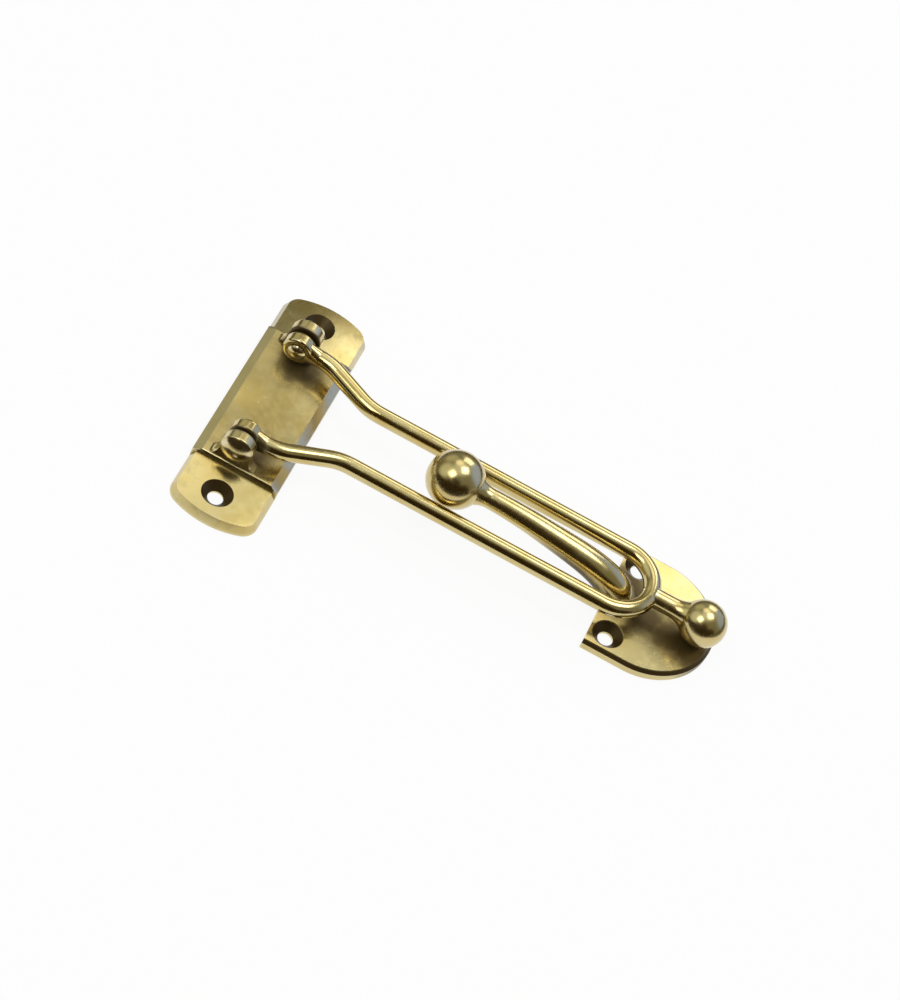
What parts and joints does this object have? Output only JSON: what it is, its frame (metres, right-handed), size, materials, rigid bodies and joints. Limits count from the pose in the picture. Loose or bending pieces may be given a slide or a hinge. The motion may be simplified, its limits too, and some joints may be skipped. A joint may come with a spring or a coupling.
{
  "type": "swing bar door guard",
  "caption": "Brass door guard: a hinged loop of round rod with a knob swings over a ball-ended keeper arm, so that the door can open only a little way.",
  "frame": {"origin": "centre of the hinge plate's back face", "axes": "+X runs along the closed bar towards its knob, +Y along the hinge axis, +Z away from the door frame"},
  "size_m": [0.145, 0.0846, 0.0213],
  "materials": {
    "plate_brass": "satin-polished and lacquered",
    "pin_brass": "polished, peened at the tail",
    "bar_brass": "polished and lacquered",
    "knob_brass": "turned and polished",
    "keeper_plate_brass": "satin-polished and lacquered",
    "keeper_arm_brass": "polished and lacquered"
  },
  "bodies": {
    "hinge": {"hinge_plate": "plate_brass", "pivot_pin_left": "pin_brass", "pivot_pin_right": "pin_brass"},
    "bar": {"swing_bar": "bar_brass", "knob": "knob_brass"},
    "keeper": {"keeper_plate": "keeper_plate_brass", "keeper_arm": "keeper_arm_brass"}
  },
  "joints": [
    {"name": "bar_swing", "type": "hinge", "parent": "hinge", "child": "bar", "pos_m": [-0.002, 0, 0.0098], "axis": [0, -1, 0], "range_deg": [0, 180]},
    {"name": "keeper_slide", "type": "slide", "parent": "bar", "child": "keeper", "axis": [-1, 0, 0], "range_m": [-0.002, 0.032]}
  ]
}
